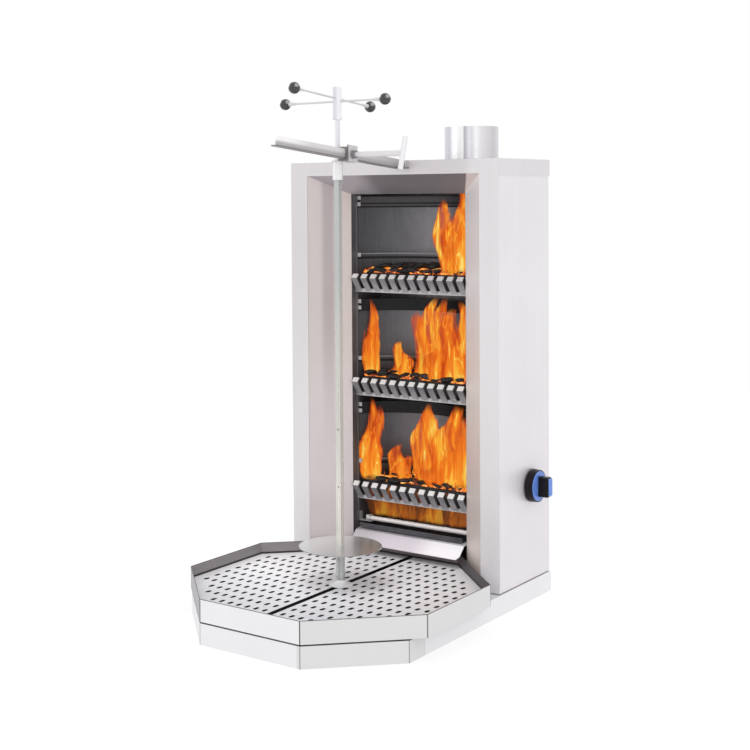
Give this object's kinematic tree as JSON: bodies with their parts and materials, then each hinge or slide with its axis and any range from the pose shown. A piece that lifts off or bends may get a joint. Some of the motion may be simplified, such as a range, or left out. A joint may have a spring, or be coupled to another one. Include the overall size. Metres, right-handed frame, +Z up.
{
  "type": "vertical rotisserie broiler",
  "caption": "Vertical rotisserie broiler: tall charcoal cabinet with slide-out fire baskets, octagonal drip tray and a motor-driven spit held by a sliding top arm carriage.",
  "frame": {"origin": "at the middle of the octagonal tray, at the flat underside of the base; the spit stands at x 0, y 17 mm in the middle of its travel", "axes": "+Z up along the spit, +Y from the operator towards the fire, +X to the operator's right"},
  "size_m": [0.682, 0.846, 1.2391],
  "materials": {
    "panel_steel": "fine vertical brushing, satin",
    "side_steel": "fine vertical brushing, satin",
    "jamb_steel": "satin, warm from the fire",
    "plate_steel": "satin, punched",
    "galvanised": "dull zinc coat",
    "soot_steel": "heat-darkened and sooty",
    "basket_steel": "scaled by heat, rubbed bright on the finger tips",
    "bright_steel": "polished stainless",
    "disc_steel": "turned, circular brushing",
    "arm_steel": "satin stainless",
    "fastener_steel": "plain bright steel",
    "gear_steel": "machined, oiled",
    "bronze": "machined bronze or brass",
    "motor_paint": "black enamel",
    "black_gloss": "moulded, glossy",
    "black_plastic": "fine moulded texture",
    "blue_plastic": "moulded, satin gloss"
  },
  "bodies": {
    "frame": {"base_skirt": "panel_steel", "base_bottom_cover": "galvanised", "base_deck": "panel_steel", "carriage_rails": "galvanised", "tray_pads": "panel_steel", "drip_tray": "panel_steel", "perforated_plate_left": "plate_steel", "perforated_plate_right": "plate_steel", "top_arm": "arm_steel", "arm_bolts": "fastener_steel", "front_frame": "panel_steel", "side_panel_left": "side_steel", "side_panel_right": "side_steel", "back_panel": "panel_steel", "back_panel_screws": "fastener_steel", "cabinet_top": "panel_steel", "cabinet_floor": "galvanised", "hood_throat": "jamb_steel", "jamb_left": "jamb_steel", "jamb_right": "jamb_steel", "chamber_shell": "soot_steel", "smoke_duct": "galvanised", "reflector_lower": "soot_steel", "reflector_middle": "soot_steel", "reflector_upper": "soot_steel", "reflector_clips": "basket_steel", "deflector_plate": "panel_steel", "burner_tube": "bright_steel", "burner_clip": "basket_steel", "gas_valve": "bronze", "cable_gland": "black_plastic", "flue_collar": "panel_steel"},
    "lower_carriage": {"carriage_plate": "galvanised", "gearbox_cover": "galvanised", "output_bearings": "fastener_steel", "motor_can": "motor_paint", "motor_bolts": "fastener_steel"},
    "drive": {"drive_gear": "gear_steel", "output_shaft": "bright_steel", "drive_cone": "bright_steel"},
    "pinion": {"motor_pinion": "gear_steel"},
    "spit": {"spit_bar": "bright_steel", "meat_disc": "disc_steel", "disc_pin": "fastener_steel", "cross_hub": "bright_steel", "cross_rods": "bright_steel", "ball_knobs": "black_gloss"},
    "upper_carriage": {"carriage_bracket": "arm_steel", "top_bush": "bright_steel", "clamp_nut": "fastener_steel"},
    "clamp": {"clamp_screw": "bright_steel", "clamp_tee_bar": "bright_steel"},
    "knob": {"valve_spindle": "fastener_steel", "knob_skirt": "black_plastic", "knob_face": "blue_plastic", "knob_grip": "black_plastic"},
    "basket_lower": {"fire_basket_lower": "basket_steel"},
    "basket_middle": {"fire_basket_middle": "basket_steel"},
    "basket_upper": {"fire_basket_upper": "basket_steel"},
    "ash_drawer": {"ash_pan": "soot_steel"}
  },
  "joints": [
    {"name": "carriage_slide", "type": "slide", "parent": "frame", "child": "lower_carriage", "axis": [0, 1, 0], "range_m": [-0.09, 0.09]},
    {"name": "spit_spin", "type": "hinge", "parent": "lower_carriage", "child": "drive", "pos_m": [0, 0.017, 0.04], "axis": [0, 0, 1], "continuous": true},
    {"name": "pinion_spin", "type": "hinge", "parent": "lower_carriage", "child": "pinion", "pos_m": [0.045, 0.017, 0.038], "axis": [0, 0, 1], "continuous": true},
    {"name": "spit_lift", "type": "slide", "parent": "drive", "child": "spit", "axis": [0, 0, 1], "range_m": [0, 0.012]},
    {"name": "upper_slide", "type": "slide", "parent": "frame", "child": "upper_carriage", "axis": [0, 0.9962, -0.0872], "range_m": [-0.0905, 0.0905]},
    {"name": "clamp_turn", "type": "hinge", "parent": "upper_carriage", "child": "clamp", "pos_m": [0.12, 0.017, 1.08], "axis": [1, 0, 0], "range_deg": [0, 180]},
    {"name": "knob_turn", "type": "hinge", "parent": "frame", "child": "knob", "pos_m": [0.3, 0.398, 0.28], "axis": [1, 0, 0], "range_deg": [0, 90]},
    {"name": "basket_lower_slide", "type": "slide", "parent": "frame", "child": "basket_lower", "axis": [0, -1, 0], "range_m": [0, 0.15]},
    {"name": "basket_middle_slide", "type": "slide", "parent": "frame", "child": "basket_middle", "axis": [0, -1, 0], "range_m": [0, 0.15]},
    {"name": "basket_upper_slide", "type": "slide", "parent": "frame", "child": "basket_upper", "axis": [0, -1, 0], "range_m": [0, 0.15]},
    {"name": "ash_slide", "type": "slide", "parent": "frame", "child": "ash_drawer", "axis": [0, -1, 0], "range_m": [0, 0.12]}
  ],
  "couplings": [
    {"joint": "pinion_spin", "follows": "spit_spin", "ratio": -3},
    {"joint": "upper_slide", "follows": "carriage_slide", "ratio": 1.0038}
  ]
}
